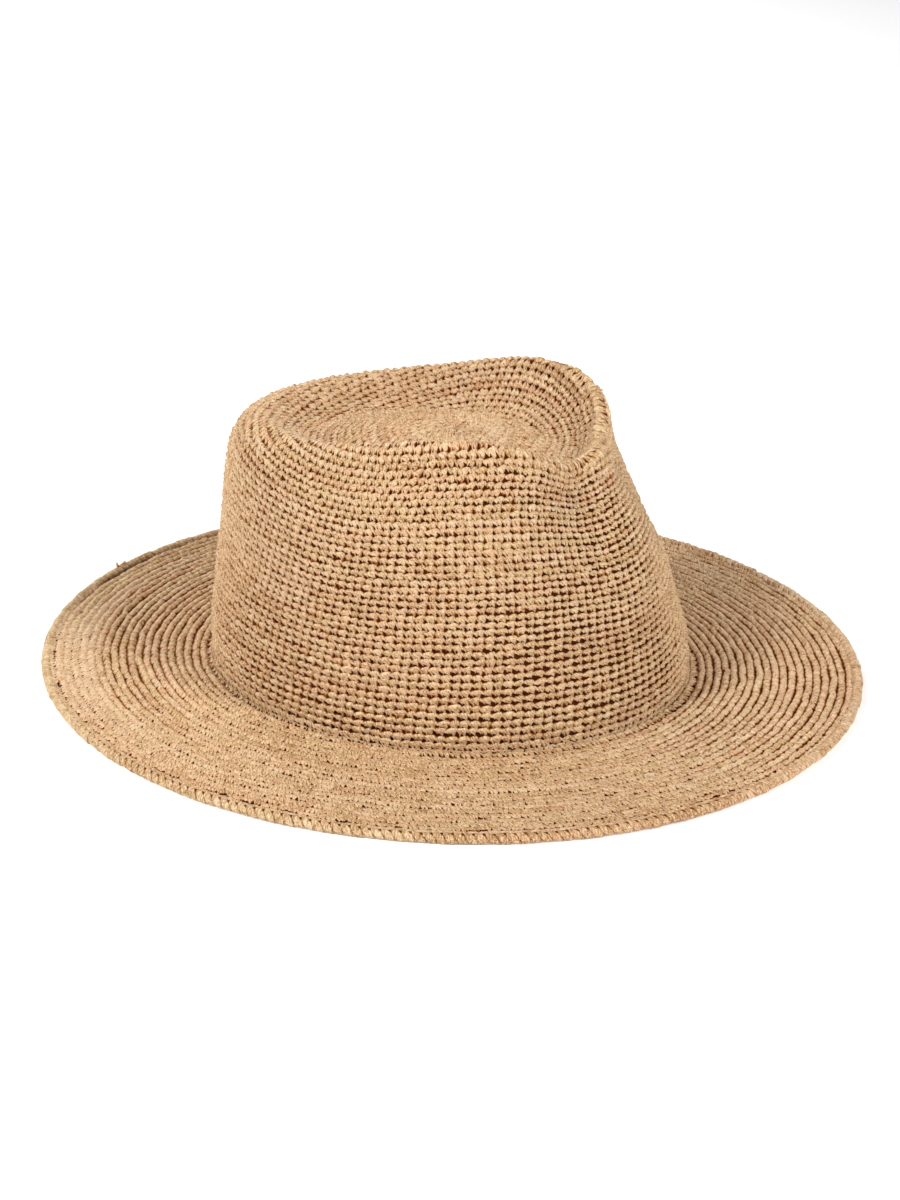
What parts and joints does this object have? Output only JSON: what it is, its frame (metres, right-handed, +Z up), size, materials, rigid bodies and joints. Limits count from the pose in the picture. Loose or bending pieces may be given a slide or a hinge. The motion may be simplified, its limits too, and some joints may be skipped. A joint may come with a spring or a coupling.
{
  "type": "straw fedora",
  "caption": "Crocheted straw hat lying on its brim: a hollow crown with a teardrop top and two pinches at the front, and a flat oval brim finished by a thicker cord-like edge.",
  "frame": {"origin": "bottom centre of the bounding box, on the surface the brim rests on and under the middle of the crown", "axes": "+Z up, -Y towards the front of the hat, where the two pinches are, and -X towards the wearer's right side"},
  "size_m": [0.3138, 0.345, 0.1208],
  "materials": {
    "straw": "matt crocheted raffia",
    "straw_edge": "matt crocheted raffia, thicker edging rounds"
  },
  "bodies": {
    "root": {"hat_body": "straw", "brim_edge": "straw_edge"}
  },
  "joints": []
}
